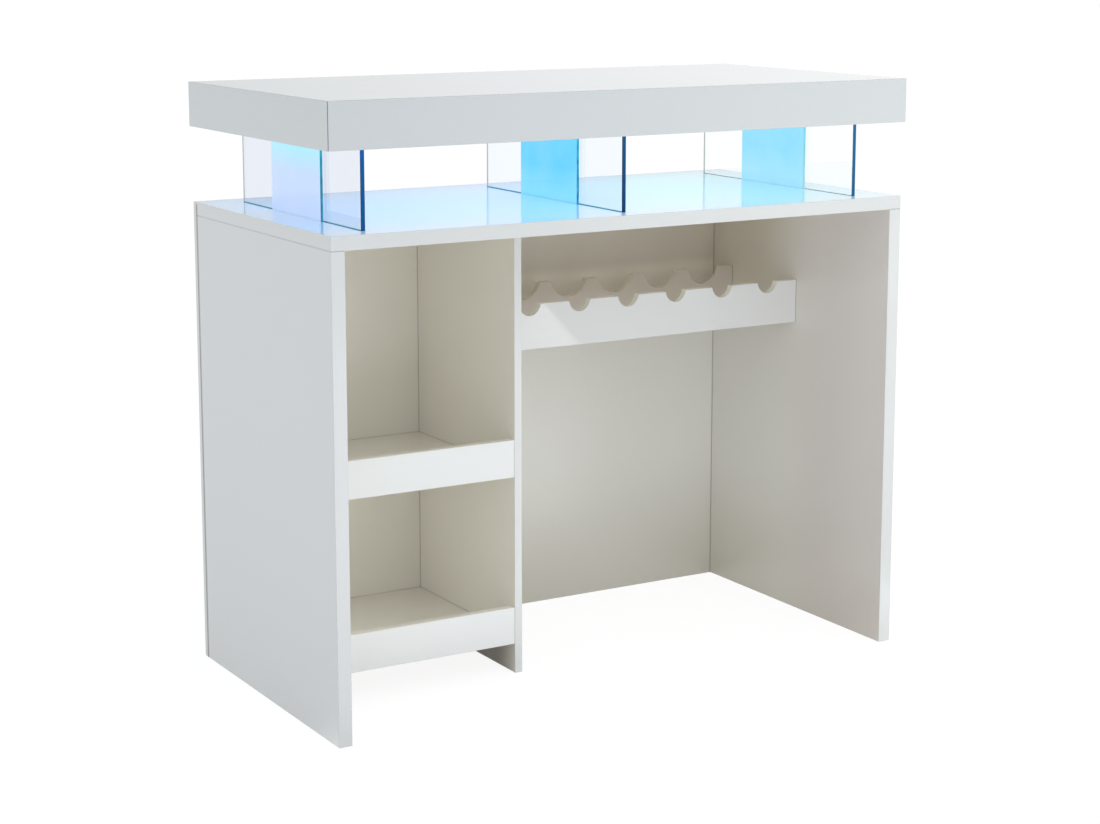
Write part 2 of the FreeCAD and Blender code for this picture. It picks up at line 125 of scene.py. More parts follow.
class Surface:
    """A material's node tree with short calls for the nodes used here."""

    def __init__(self, name):
        self.material = bpy.data.materials.new(name)
        self.material.use_nodes = True
        self.tree = self.material.node_tree
        self.tree.nodes.clear()
        self.out = self.tree.nodes.new("ShaderNodeOutputMaterial")
        coordinates = self.tree.nodes.new("ShaderNodeTexCoord")
        self.place = coordinates.outputs["Object"]

    def link(self, source, socket):
        self.tree.links.new(source, socket)

    def fill(self, socket, value):
        """Sets a socket to a constant or links it to another node's output."""
        if isinstance(value, bpy.types.NodeSocket):
            self.link(value, socket)
        else:
            socket.default_value = value

    def math(self, operation, first, second=0.0):
        node = self.tree.nodes.new("ShaderNodeMath")
        node.operation = operation
        self.fill(node.inputs[0], first)
        self.fill(node.inputs[1], second)
        return node.outputs[0]

    def times(self, first, *others):
        """The product of masks or levels."""
        for other in others:
            first = self.math("MULTIPLY", first, other)
        return first

    def below(self, value, limit):
        return self.math("LESS_THAN", value, limit)

    def above(self, value, limit):
        return self.math("GREATER_THAN", value, limit)

    def size(self, value):
        return self.math("ABSOLUTE", value)

    def noise(self, scale, detail=2.0, roughness=0.5, stretch=None):
        node = self.tree.nodes.new("ShaderNodeTexNoise")
        node.inputs["Scale"].default_value = scale
        node.inputs["Detail"].default_value = detail
        node.inputs["Roughness"].default_value = roughness
        place = self.place
        if stretch is not None:
            mapping = self.tree.nodes.new("ShaderNodeMapping")
            mapping.inputs["Scale"].default_value = stretch
            self.link(place, mapping.inputs["Vector"])
            place = mapping.outputs[0]
        self.link(place, node.inputs["Vector"])
        return node.outputs["Fac"]

    def span(self, value, low, high, from_low=0.0, from_high=1.0):
        """The value carried from one range to another, and kept inside it."""
        node = self.tree.nodes.new("ShaderNodeMapRange")
        self.fill(node.inputs["Value"], value)
        node.inputs["From Min"].default_value = from_low
        node.inputs["From Max"].default_value = from_high
        node.inputs["To Min"].default_value = low
        node.inputs["To Max"].default_value = high
        return node.outputs[0]

    def mix(self, share, first, second, blend="MIX"):
        node = self.tree.nodes.new("ShaderNodeMix")
        node.data_type = "RGBA"
        node.blend_type = blend
        self.fill(node.inputs[0], share)
        self.fill(node.inputs[6], first)
        self.fill(node.inputs[7], second)
        return node.outputs[2]

    def darken(self, color, share):
        """A colour, given by a node, times a constant share of red, green and blue."""
        return self.mix(1.0, color, share, "MULTIPLY")

    def grey(self, level):
        node = self.tree.nodes.new("ShaderNodeCombineColor")
        for socket in node.inputs[:3]:
            self.link(level, socket)
        return node.outputs[0]

    def axes(self, vector):
        node = self.tree.nodes.new("ShaderNodeSeparateXYZ")
        self.link(vector, node.inputs[0])
        return node.outputs

    def face_direction(self):
        """The direction that the flat face looks, as X, Y and Z shares."""
        node = self.tree.nodes.new("ShaderNodeNewGeometry")
        return self.axes(node.outputs["True Normal"])

    def rise(self, value, start, end):
        """A soft step from nothing to one along an axis."""
        output = self.span(value, 0.0, 1.0, start, end)
        output.node.interpolation_type = "SMOOTHSTEP"
        return output

    def near(self, value, place, width):
        """One at a place along an axis, falling to nothing a width away."""
        offset = self.size(self.math("SUBTRACT", value, place))
        return self.span(offset, 1.0, 0.0, 0.0, width)

    def any_of(self, masks):
        """The strongest of some masks."""
        shade = masks[0]
        for mask in masks[1:]:
            shade = self.math("MAXIMUM", shade, mask)
        return shade

    def soft_edges(self):
        """Normals that turn softly over a board's sharp edges, so that they catch the light."""
        node = self.tree.nodes.new("ShaderNodeBevel")
        node.samples = 4
        node.inputs["Radius"].default_value = EDGE_RADIUS
        return node.outputs[0]

    def bump(self, height, distance, strength, after=None):
        node = self.tree.nodes.new("ShaderNodeBump")
        node.inputs["Distance"].default_value = distance
        node.inputs["Strength"].default_value = strength
        self.link(height, node.inputs["Height"])
        if after is not None:
            self.link(after, node.inputs["Normal"])
        return node.outputs[0]

    def principled(self, color, roughness, **values):
        node = self.tree.nodes.new("ShaderNodeBsdfPrincipled")
        self.fill(node.inputs["Base Color"], color)
        self.fill(node.inputs["Roughness"], roughness)
        for key, value in values.items():
            self.fill(node.inputs[key.replace("_", " ")], value)
        return node.outputs[0]

    def transparent(self, color):
        node = self.tree.nodes.new("ShaderNodeBsdfTransparent")
        self.fill(node.inputs["Color"], color)
        return node.outputs[0]

    def blend_shaders(self, share, first, second):
        node = self.tree.nodes.new("ShaderNodeMixShader")
        self.fill(node.inputs[0], share)
        self.link(first, node.inputs[1])
        self.link(second, node.inputs[2])
        return node.outputs[0]

    def light_path(self, name):
        return self.tree.nodes.new("ShaderNodeLightPath").outputs[name]

    def finish(self, shader):
        self.link(shader, self.out.inputs["Surface"])
        return self.material


# Where boards meet across X, and how wide the lines are
JOINTS_X = (-SIDE_INNER_X, *DIVIDER_X, SIDE_INNER_X)
JOINT_WIDTH = 0.0021
SEAM_WIDTH = 0.0055
SEAM_TOP = 0.874
# How dark the lines are: in the open bay and the cubbies, outside, round the shelves, and the seam
BAY_LINES = 0.55
CUBBY_LINES = 0.42
OUTSIDE_LINES = 0.65
SHELF_LINES = 0.22
SEAM_LINES = 0.8
# Limits of the cubbies, of the outer sides, and of the place where the rack meets the side panel
BAY_LEFT = -0.1225
LIP_REAR = -0.0828
OUTSIDE_X = 0.594
RACK_END_X = (0.5, 0.58)


def board_joints(s, place, toward):
    """The thin dark lines where boards meet.

    They run in the inner corners of the bays and round the ends of the counter and the rack.
    The seam of the guests' side panel shows on the two outer sides."""
    x, y, z = place
    flat = [s.below(s.size(share), 0.5) for share in toward]
    under_counter = s.below(z, COUNTER_FOOT + SLACK)
    ahead = s.below(y, FACADE_Y + SLACK)
    outside = s.above(s.size(x), OUTSIDE_X)
    in_cubby = s.times(s.below(x, BAY_LEFT), s.above(y, LIP_REAR))

    across = s.any_of([s.near(x, at, JOINT_WIDTH) for at in JOINTS_X])
    across = s.times(across, under_counter, ahead, flat[0])
    rear = s.times(s.near(y, FACADE_Y, JOINT_WIDTH), under_counter, flat[1])
    counter = s.times(s.near(z, COUNTER_FOOT, JOINT_WIDTH), ahead, flat[2])
    ends = s.times(
        s.any_of([s.near(y, at, JOINT_WIDTH) for at in RACK_FRONTS_Y]),
        s.above(x, RACK_END_X[0]), s.below(x, RACK_END_X[1]),
        s.above(z, RACK_FOOT), s.below(z, RACK_TOP), flat[1],
    )
    lines = s.times(
        s.any_of([across, rear, counter, ends]),
        s.span(in_cubby, BAY_LINES, CUBBY_LINES), s.span(outside, 1.0, OUTSIDE_LINES),
    )

    seam = s.near(y, FACADE_Y, SEAM_WIDTH)
    seam = s.times(seam, s.below(z, SEAM_TOP), outside, SEAM_LINES)
    shelves = s.any_of([s.near(z, at, JOINT_WIDTH) for at in SHELF_TOPS])
    inner = s.below(s.size(x), SIDE_INNER_X + SLACK)
    shelves = s.times(shelves, in_cubby, ahead, inner, flat[2], SHELF_LINES)
    return s.any_of([lines, seam, shelves])


# Painted shade inside: how much of each colour is left on the boards where little light gets in; in
# the nook seen through the rack, warm painted light instead
RACK_SHADE = (0.815, 0.77, 0.70)
NOOK_PAINTED_LIGHT = (1.08, 1.03, 0.95)
FOOT_SHADE = (0.88, 0.86, 0.81)
UNDER_SHADE = (0.28, 0.245, 0.19)
FRONT_SHADE = (0.905, 0.865, 0.89)
# Where these set in, from nothing to full: heights in the nook behind the rack, on each board
NOOK_HEIGHTS = (0.56, 0.63)
REAR_SHADE_HEIGHTS = (0.67, 0.702)
SIDE_SHADE_HEIGHTS = (0.60, 0.66)
# The nook's reach along Y, and the heights under the counter where it gets weaker, and by how much
NOOK_DEPTHS = (-0.10, 0.14)
NOOK_FADE_HEIGHTS = (0.79, COUNTER_FOOT)
NOOK_FADE = 0.6
# Heights of the shade at the bay's foot, places along Y of the shade on the right side panel
# and of the one under the lower shelf, and that shelf's underside
FOOT_HEIGHTS = (0.30, 0.0)
FRONT_PLACES = (0.08, -0.15)
UNDER_PLACES = (-0.13, -0.02)
LOWER_SHELF_FOOT = 0.0572


def painted_lengthways_light(s, color, ends):
    """Painted light: a colour with one level at the bar's left end and another at its right end."""
    x = s.axes(s.place)[0]
    left, right = (shaded(color, level) for level in ends)
    return s.mix(s.span(x, 0.0, 1.0, -SLAB_END_X, SLAB_END_X), left, right)


def behind_rack(s, place, heights):
    """Mask for painted shade and light in the nook between counter, guests' side panel and rack."""
    _, y, z = place
    fade = s.math("SUBTRACT", 1.0, s.times(s.rise(z, *NOOK_FADE_HEIGHTS), NOOK_FADE))
    return s.times(s.rise(z, *heights), fade, s.rise(y, *NOOK_DEPTHS))


def inside_tone(s, place, toward):
    """Inside boards with painted light and shade: warm in the cubbies, whiter in the open bay.

    Painted shade where little light gets in, warm painted light in the nook behind the rack."""
    x, y, z = place
    bay = s.mix(s.rise(z, *FOOT_HEIGHTS), LACQUER_BAY, shaded(LACQUER_BAY, FOOT_SHADE))
    in_shade = shaded(LACQUER_BAY, RACK_SHADE)
    side = s.mix(behind_rack(s, place, SIDE_SHADE_HEIGHTS), bay, in_shade)
    nook_light = shaded(LACQUER_BAY, NOOK_PAINTED_LIGHT)
    rear = s.mix(behind_rack(s, place, NOOK_HEIGHTS), bay, nook_light)
    rear = s.mix(behind_rack(s, place, REAR_SHADE_HEIGHTS), rear, in_shade)
    to_left = s.below(toward[0], -0.5)
    bay = s.mix(to_left, rear, side)
    at_front = s.times(to_left, s.rise(y, *FRONT_PLACES))
    bay = s.mix(at_front, bay, s.darken(bay, (*FRONT_SHADE, 1.0)))
    under = s.times(s.below(z, LOWER_SHELF_FOOT), s.rise(y, *UNDER_PLACES))
    cubby = s.mix(under, LACQUER_INSIDE, shaded(LACQUER_INSIDE, UNDER_SHADE))
    return s.mix(s.above(x, BAY_LEFT), cubby, bay)


# The inside begins behind the edge bands, without the fronts of boards before the rear limit
INSIDE_FRONT = -0.2948
INSIDE_REAR = 0.28
INSIDE_DULLER = 0.16


def sprayed_lacquer(name, color, gloss=0.09, peel=0.3, inside=False, ends=None):
    """High-gloss sprayed lacquer: faint orange peel, clouds of tone, hazy patches from wiping.

    Faces inside the bays get painted light and shade of their own, and are less polished.
    Where two boards meet there, a thin dark joint shows.
    Ends are the levels of painted light at the bar's two ends, for the faces that look to the front
    or up."""
    s = Surface(name)
    clouds = s.noise(2.3)
    haze = s.noise(7.0)
    skin = s.noise(330.0, detail=1.5, roughness=0.4)
    tint = color
    roughness = s.span(haze, gloss, gloss + 0.03)
    # Painted light along the bar on the faces that look to the front or up
    if ends:
        toward = s.face_direction()
        faced = s.any_of([s.below(toward[1], -0.5), s.above(toward[2], 0.5)])
        tint = s.mix(faced, color, painted_lengthways_light(s, color, ends))
    if inside:
        place = s.axes(s.place)
        toward = s.face_direction()
        x, y, z = place
        fronts = s.times(s.below(toward[1], -0.9), s.below(y, INSIDE_REAR))
        within = s.times(
            s.below(s.size(x), SIDE_INNER_X + SLACK),
            s.below(z, COUNTER_FOOT + SLACK),
            s.below(y, FACADE_Y + SLACK),
            s.above(y, INSIDE_FRONT),
            s.math("SUBTRACT", 1.0, fronts),
        )
        # Painted light and shade on the faces inside the bays
        tint = s.mix(within, color, inside_tone(s, place, toward))
        roughness = s.math("ADD", roughness, s.times(within, INSIDE_DULLER))
        tint = s.mix(board_joints(s, place, toward), tint, JOINT_SHADE)
    tint = s.darken(tint, s.grey(s.span(clouds, 0.98, 1.0)))
    normal = s.bump(skin, 0.00005, peel, after=s.soft_edges())
    return s.finish(s.principled(tint, roughness, Normal=normal))


# The divider's band is the only one behind this place, and gets painted light towards its foot
BANDS_REAR = -0.2
DIVIDER_FOOT_HEIGHTS = (0.35, 0.0)
DIVIDER_FOOT_PAINTED_LIGHT = 1.07
BAND_JOINT_WIDTH = 0.0014
BAND_JOINT_LINES = 0.6


def edge_tape(name, color):
    """Glossy edge band: fine scraper marks along it, the joint under the counter, and painted
    light.
    """
    s = Surface(name)
    marks = s.noise(60.0, detail=3.0, stretch=(1.0, 1.0, 6.0))
    clouds = s.noise(5.0)
    x, y, z = s.axes(s.place)
    # Painted light: the band gets lighter to the right and towards the divider's foot
    level = painted_lengthways_light(s, color, FRONT_PAINTED_LIGHT)
    divider_foot_light = s.times(s.above(y, BANDS_REAR), s.rise(z, *DIVIDER_FOOT_HEIGHTS))
    level = s.mix(divider_foot_light, level, dimmed(color, DIVIDER_FOOT_PAINTED_LIGHT))
    darker = s.darken(level, dimmed(WHITE, 0.97))
    tint = s.mix(s.span(clouds, 0.0, 1.0, 0.35, 0.65), darker, level)
    roughness = s.span(marks, 0.12, 0.24, 0.3, 0.7)
    joint = s.near(z, COUNTER_FOOT, BAND_JOINT_WIDTH)
    joint = s.times(joint, s.above(s.size(x), SIDE_INNER_X + SLACK), BAND_JOINT_LINES)
    tint = s.mix(joint, tint, JOINT_SHADE)
    normal = s.bump(marks, 0.00003, 0.3, after=s.soft_edges())
    return s.finish(s.principled(tint, roughness, Normal=normal))


def particle_board(name):
    """Bare board: pressed chips of mixed brown, rough."""
    s = Surface(name)
    chips = s.tree.nodes.new("ShaderNodeTexVoronoi")
    chips.inputs["Scale"].default_value = 260.0
    s.link(s.place, chips.inputs["Vector"])
    tones = s.axes(chips.outputs["Color"])[0]
    fine = s.noise(700.0, detail=3.0)
    tint = s.mix(tones, srgb(150, 122, 90), srgb(196, 170, 134))
    tint = s.mix(s.span(fine, 0.0, 0.35, 0.4, 0.7), tint, srgb(112, 88, 62))
    normal = s.bump(chips.outputs["Distance"], 0.0003, 0.5)
    return s.finish(s.principled(tint, s.span(fine, 0.75, 0.95), Normal=normal))


# Glass: where the line at its foot ends, the colour of the lamp light that it lets through,
# and how little its lit ends and the plates' edges shine
PANE_FOOT_LINE = 0.8797
GLASS_SHADOW = srgb(244, 252, 255)
END_SPECULAR = 0.12
# Plates: share seen through, glow of the faces and glow of the edges
PLATE_SEE_THROUGH = 0.45
PLATE_GLOW = 0.8
PLATE_EDGE_GLOW = 0.35


def clear_glass(name, tint, foot):
    """Clear float glass, with a line of another colour where it leaves the counter.

    Lamps shine through it, so that it casts hardly any shadow."""
    s = Surface(name)
    z = s.axes(s.place)[2]
    tint = s.mix(s.below(z, PANE_FOOT_LINE), tint, foot)
    smears = s.span(s.noise(18.0, detail=4.0, roughness=0.6), 0.0, 0.02, 0.5, 0.75)
    glass = s.principled(tint, smears, Transmission_Weight=1.0, IOR=1.5)
    passing = s.any_of([s.light_path("Is Shadow Ray"), s.light_path("Is Diffuse Ray")])
    return s.finish(s.blend_shaders(passing, glass, s.transparent(GLASS_SHADOW)))


def upright_tint(s, low, high):
    """One colour at the counter and another at the slab."""
    z = s.axes(s.place)[2]
    return s.mix(s.span(z, 0.0, 1.0, COUNTER_TOP, SLAB_FOOT), low, high)


def pane_end(name, low, high, glow, lit=1.0):
    """A pane's polished upright end, with a painted blue glow for light that ran along the glass.

    Lit is the share of its colour that shows by the light that falls on it."""
    s = Surface(name)
    streaks = s.noise(40.0, detail=3.0, stretch=(9.0, 1.0, 0.5))
    tint = upright_tint(s, low, high)
    tint = s.mix(s.span(streaks, 0.0, 0.3, 0.45, 0.7), tint, dimmed(high, 0.8))
    return s.finish(s.principled(
        s.mix(lit, BLACK, tint), s.span(streaks, 0.1, 0.25),
        Specular_IOR_Level=END_SPECULAR, Emission_Color=tint, Emission_Strength=glow,
    ))


def lit_plate(name, low, high, heights):
    """Frosted plate lit from above: brightest under the lamps, with a mottle from the frosting.

    Its colour changes from low to high between two heights."""
    s = Surface(name)
    z = s.axes(s.place)[2]
    mottle = s.noise(120.0, detail=3.0)
    cloud = s.noise(14.0)
    tint = s.mix(s.span(z, 0.0, 1.0, *heights), low, high)
    tint = s.mix(s.span(cloud, 0.0, 0.10, 0.35, 0.65), tint, WHITE)
    body = s.principled(
        dimmed(low, 0.30), s.span(mottle, 0.28, 0.42), Normal=s.bump(mottle, 0.00005, 0.4),
        Emission_Color=tint, Emission_Strength=PLATE_GLOW,
    )
    passed = tuple(0.35 + 0.65 * c for c in low[:3]) + (1.0,)
    return s.finish(s.blend_shaders(PLATE_SEE_THROUGH, body, s.transparent(passed)))


def plate_edge(name, low, high):
    """The sawn and polished edge of a lit plate."""
    s = Surface(name)
    streaks = s.noise(90.0, stretch=(6.0, 1.0, 0.6))
    tint = upright_tint(s, low, high)
    tint = s.mix(s.span(streaks, 0.0, 0.3, 0.45, 0.7), tint, srgb(150, 235, 250))
    return s.finish(s.principled(
        tint, s.span(streaks, 0.1, 0.25),
        Specular_IOR_Level=END_SPECULAR, Emission_Color=tint, Emission_Strength=PLATE_EDGE_GLOW,
    ))


def soft_strip(name):
    """Clear soft strip round the foot and the head of a pane: a thin grey-green line."""
    s = Surface(name)
    folds = s.noise(160.0, stretch=(1.0, 0.3, 1.0))
    tint = s.mix(s.span(folds, 0.0, 1.0, 0.4, 0.6), srgb(8, 64, 70), srgb(26, 92, 98))
    shader = s.principled(tint, s.span(folds, 0.2, 0.35), Normal=s.bump(folds, 0.0001, 0.3))
    return s.finish(s.blend_shaders(0.2, shader, s.transparent(srgb(150, 200, 210))))


# The lamps' upper end, where the tape begins, and their glow
LAMPS_TOP = 1.0326
LAMP_GLOW = 3.0


def lamp_tape(name):
    """White tape with lamps: the lamps hang below the tape, and glow."""
    s = Surface(name)
    z = s.axes(s.place)[2]
    weave = s.noise(500.0)
    tint = s.mix(s.span(weave, 0.0, 1.0, 0.4, 0.6), srgb(226, 226, 220), srgb(240, 240, 236))
    return s.finish(s.principled(
        tint, s.span(weave, 0.4, 0.55), Normal=s.bump(weave, 0.00005, 0.4),
        Emission_Color=srgb(110, 215, 255),
        Emission_Strength=s.times(s.below(z, LAMPS_TOP), LAMP_GLOW),
    ))


def metal(name, color, roughness, stretch=(1.0, 1.0, 1.0), scale=60.0):
    """Metal with marks, along one direction where they are stretched."""
    s = Surface(name)
    marks = s.noise(scale, detail=4.0, roughness=0.6, stretch=stretch)
    tint = s.mix(s.span(marks, 0.0, 1.0, 0.35, 0.65), dimmed(color, 0.8), color)
    rough = s.span(marks, roughness - 0.08, roughness + 0.1, 0.3, 0.7)
    return s.finish(s.principled(tint, rough, Metallic=1.0, Normal=s.bump(marks, 0.00003, 0.4)))


def moulded_plastic(name, color, roughness):
    """Moulded plastic with a fine spark-eroded grain."""
    s = Surface(name)
    grain = s.noise(900.0)
    clouds = s.noise(30.0)
    tint = s.mix(s.span(clouds, 0.0, 1.0, 0.35, 0.65), dimmed(color, 0.93), color)
    rough = s.span(clouds, roughness - 0.05, roughness + 0.08, 0.3, 0.7)
    return s.finish(s.principled(tint, rough, Normal=s.bump(grain, 0.00004, 0.4)))


def beech_wood(name):
    """Bare beech: pale brown with short darker flecks."""
    s = Surface(name)
    grain = s.noise(90.0, detail=4.0, stretch=(1.0, 1.0, 6.0))
    flecks = s.span(s.noise(600.0, detail=1.0, stretch=(1.0, 1.0, 0.3)), 0.0, 1.0, 0.62, 0.72)
    tint = s.mix(grain, srgb(196, 160, 118), srgb(226, 194, 152))
    tint = s.mix(s.times(flecks, 0.6), tint, srgb(150, 108, 70))
    return s.finish(s.principled(tint, s.span(grain, 0.5, 0.7), Normal=s.bump(grain, 0.00008, 0.4)))


# Each lacquer below is the one white at a level of painted light or shade for its parts.
board_white = sprayed_lacquer("board_lacquer", LACQUER, inside=True)
neck_white = sprayed_lacquer("neck_board_lacquer", RACK_WHITE, gloss=0.012, peel=0.04)
body_shaded_white = sprayed_lacquer("body_board_lacquer", BODY_SHADED_WHITE, gloss=0.22)
neck_notch_lit_white = sprayed_lacquer("neck_notch_lacquer", NECK_NOTCH_LIT_WHITE, gloss=0.22)
body_notch_shaded_white = sprayed_lacquer("body_notch_lacquer", BODY_NOTCH_SHADED_WHITE, gloss=0.22)
slab_white = sprayed_lacquer("slab_lacquer", SLAB_LACQUER, gloss=0.07, ends=FRONT_PAINTED_LIGHT)
top_white = sprayed_lacquer("slab_top_lacquer", SLAB_TOP, gloss=0.08, peel=0.12, ends=TOP_PAINTED_LIGHT)
lip_white = sprayed_lacquer("lip_lacquer", LIP_WHITE, inside=True)
lower_lip_white = sprayed_lacquer("lower_lip_lacquer", LOWER_LIP_WHITE, inside=True)
band_white = edge_tape("edge_band", BAND_WHITE)
bare_board = particle_board("bare_board")
strip_clear = soft_strip("seat_strip")
tape_white = lamp_tape("lamp_tape")
bar_metal = metal("aluminium", srgb(214, 216, 218), 0.32, (14.0, 0.6, 14.0))
cam_metal = metal("die_cast_zinc", srgb(186, 188, 190), 0.42, scale=240.0)
bolt_metal = metal("plated_steel", srgb(206, 202, 186), 0.28, scale=160.0)
case_plastic = moulded_plastic("controller_case", srgb(228, 228, 224), 0.5)
lead_plastic = moulded_plastic("lead_jacket", srgb(232, 232, 228), 0.42)
inlet_plastic = moulded_plastic("inlet_plastic", srgb(24, 24, 26), 0.38)
dowel_wood = beech_wood("beech")

LOOKS = {
    board_white: ("left_side_panel", "right_side_panel", "counter_board", "facade_panel",
                  "divider_panel", "upper_shelf", "lower_shelf", "cam_caps"),
    lip_white: ("upper_shelf_lip",),
    lower_lip_white: ("lower_shelf_lip",),
    slab_white: ("slab_front_fascia", "slab_rear_fascia", "slab_left_fascia",
                 "slab_right_fascia", "slab_bottom_panel"),
    top_white: ("slab_top_panel",),
    band_white: ("front_edge_bands",),
    strip_clear: ("lower_seat_strips", "upper_seat_strips"),
    case_plastic: ("led_controller",),
    lead_plastic: ("led_leads",),
    inlet_plastic: ("power_inlet",),
    cam_metal: ("cam_locks",),
    bolt_metal: ("cam_bolts",),
    dowel_wood: ("dowels",),
    tape_white: ("led_strip_left", "led_strip_middle", "led_strip_right"),
    bar_metal: ("led_bar_left", "led_bar_middle", "led_bar_right"),
    bare_board: tuple(n for n in nodes if n.startswith("slab_rib_")),
}


def dress(node, material):
    """Gives a carried-over part its material in every slot."""
    slots = nodes[node].material_slots
    if not slots:
        nodes[node].data.materials.append(material)
    for slot in slots:
        slot.material = material


for look, names in LOOKS.items():
    for node_name in names:
        dress(node_name, look)


# Pieces made here

# Faces that meet at a smaller angle than this are shaded as one
SMOOTH_UP_TO = math.radians(12)


def new_piece(name, mesh_builder, materials, replaced):
    """Makes an object from a filled bmesh, lets it ride, and lets it stand for a part."""
    mesh = bpy.data.meshes.new(name)
    mesh_builder.normal_update()
    mesh_builder.to_mesh(mesh)
    mesh_builder.free()
    for material in materials:
        mesh.materials.append(material)
    mesh.shade_smooth()
    mesh.set_sharp_from_angle(angle=SMOOTH_UP_TO)
    piece = bpy.data.objects.new(name, mesh)
    scene.collection.objects.link(piece)
    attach(piece, "root")
    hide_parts(replaced)


def round_edges(bm, edges, rounding):
    bmesh.ops.bevel(
        bm, geom=edges, offset=rounding, segments=2, profile=0.5, affect="EDGES", clamp_overlap=True
    )


def upright_plate(low, high, rounding):
    """A plate that stands across X, with rounded arrises.

    Its front end takes the second material, and its rear end the third."""
    bm = bmesh.new()
    bmesh.ops.create_cube(bm, size=1.0)
    middle = (low + high) / 2
    size = high - low
    for vertex in bm.verts:
        vertex.co = Vector([middle[i] + vertex.co[i] * size[i] for i in range(3)])
    round_edges(bm, list(bm.edges), rounding)
    for face in bm.faces:
        if face.normal.y < -0.6:
            face.material_index = 1
        elif face.normal.y > 0.6:
            face.material_index = 2
    return bm


PANE_ROUNDING = 0.0009
PLATE_ROUNDING = 0.0004
PANE_PAINTED_GLOW = 0.5
# Each pane's glass tint, its foot line, and its front end's painted glow at counter and slab
PANE_TINTS = {
    "left": srgb(229, 234, 243),
    "middle": srgb(243, 248, 252),
    "right": srgb(252, 254, 254),
}
PANE_FEET = {
    "left": srgb(132, 194, 202),
    "middle": srgb(132, 194, 202),
    "right": srgb(240, 248, 248),
}
PANE_ENDS = {
    "left": (srgb(4, 68, 116), srgb(8, 76, 134)),
    "middle": (srgb(4, 50, 90), srgb(20, 69, 107)),
    "right": (srgb(28, 84, 126), srgb(34, 88, 124)),
}
# Low and high colour of each plate, and the two heights between which it changes
PLATE_LIGHT = {
    "left": (srgb(207, 224, 251), srgb(164, 253, 250), (0.955, 1.012)),
    "middle": (srgb(150, 228, 246), srgb(92, 203, 243), (0.890, 0.940)),
    "right": (srgb(177, 230, 248), srgb(148, 218, 245), (0.900, 0.950)),
}
PLATE_EDGES = {
    "left": (srgb(8, 112, 134), srgb(16, 142, 142)),
    "middle": (srgb(4, 120, 154), srgb(8, 150, 154)),
    "right": (srgb(172, 210, 214), srgb(124, 178, 186)),
}

# The panes' rear ends, with a painted light grey glow
pane_rear = pane_end("pane_rear", srgb(176, 186, 186), srgb(186, 194, 192), 0.75, lit=0.12)

for side in ("left", "middle", "right"):
    clear = clear_glass(f"pane_glass_{side}", PANE_TINTS[side], PANE_FEET[side])
    front = pane_end(f"pane_front_{side}", *PANE_ENDS[side], PANE_PAINTED_GLOW)
    new_piece(
        f"pane_{side}", upright_plate(*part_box(f"glass_pane_{side}"), PANE_ROUNDING),
        (clear, front, pane_rear), f"glass_pane_{side}",
    )
    faces = lit_plate(f"lit_plate_{side}", *PLATE_LIGHT[side])
    edges = plate_edge(f"plate_edge_{side}", *PLATE_EDGES[side])
    new_piece(
        f"plate_{side}", upright_plate(*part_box(f"light_plate_{side}"), PLATE_ROUNDING),
        (faces, edges, faces), f"light_plate_{side}",
    )


# Bottle rack: a notch's radius, its depth below the board's top, and the easing of its mouth
NECK_NOTCH = (0.023, 0.0215, 0.003)
BODY_NOTCH = (0.042, 0.034, 0.003)
NOTCH_PITCH = 0.110
NOTCH_COUNT = 6
NOTCH_STEPS = 40
MOUTH_STEPS = 10
RACK_ROUNDING = 0.0007


def notch_line(x, top, radius, depth, ease):
    """The line of one notch from left to right: an eased mouth, the bottom, the other mouth."""
    centre_z = top - depth + radius
    drop = centre_z - top
    reach = math.sqrt((radius + ease) ** 2 - (drop + ease) ** 2)
    half = math.acos((drop + ease) / (radius + ease))
    line = []
    for n in range(MOUTH_STEPS):
        turn = half * n / MOUTH_STEPS
        line.append((x - reach + ease * math.sin(turn), top - ease + ease * math.cos(turn)))
    for n in range(NOTCH_STEPS + 1):
        turn = -half + 2 * half * n / NOTCH_STEPS
        line.append((x + radius * math.sin(turn), centre_z - radius * math.cos(turn)))
    mirrored = [(2 * x - px, pz) for px, pz in reversed(line[:MOUTH_STEPS])]
    return line + mirrored


def notched_board(low, high, notch):
    """A board standing across Y, with a row of notches in its top and rounded arrises.

    Its edges take the second material."""
    left, right, top = low.x, high.x, high.z
    first = (left + right) / 2 - NOTCH_PITCH * (NOTCH_COUNT - 1) / 2
    outline = [(left, low.z), (left, top)]
    for n in range(NOTCH_COUNT):
        outline += notch_line(first + n * NOTCH_PITCH, top, *notch)
    outline += [(right, top), (right, low.z)]
    bm = bmesh.new()
    front = [bm.verts.new((x, low.y, z)) for x, z in outline]
    face = bm.faces.new(front)
    face.normal_update()
    if face.normal.y > 0:
        face.normal_flip()
    made = bmesh.ops.extrude_face_region(bm, geom=[face])
    moved = [item for item in made["geom"] if isinstance(item, bmesh.types.BMVert)]
    bmesh.ops.translate(bm, verts=moved, vec=(0.0, high.y - low.y, 0.0))
    bmesh.ops.recalc_face_normals(bm, faces=list(bm.faces))
    rims = [e for e in bm.edges if abs(e.verts[0].co.y - e.verts[1].co.y) < 1e-6]
    round_edges(bm, rims, RACK_ROUNDING)
    for face in bm.faces:
        if abs(face.normal.y) < 0.5:
            face.material_index = 1
    return bm


for node_name, notch, look, rim_look in (
    ("rack_neck_board", NECK_NOTCH, neck_white, neck_notch_lit_white),
    ("rack_body_board", BODY_NOTCH, body_shaded_white, body_notch_shaded_white),
):
    new_piece(
        node_name.replace("_board", "_rest"), notched_board(*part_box(node_name), notch),
        (look, rim_look), node_name,
    )


# Floor and surroundings


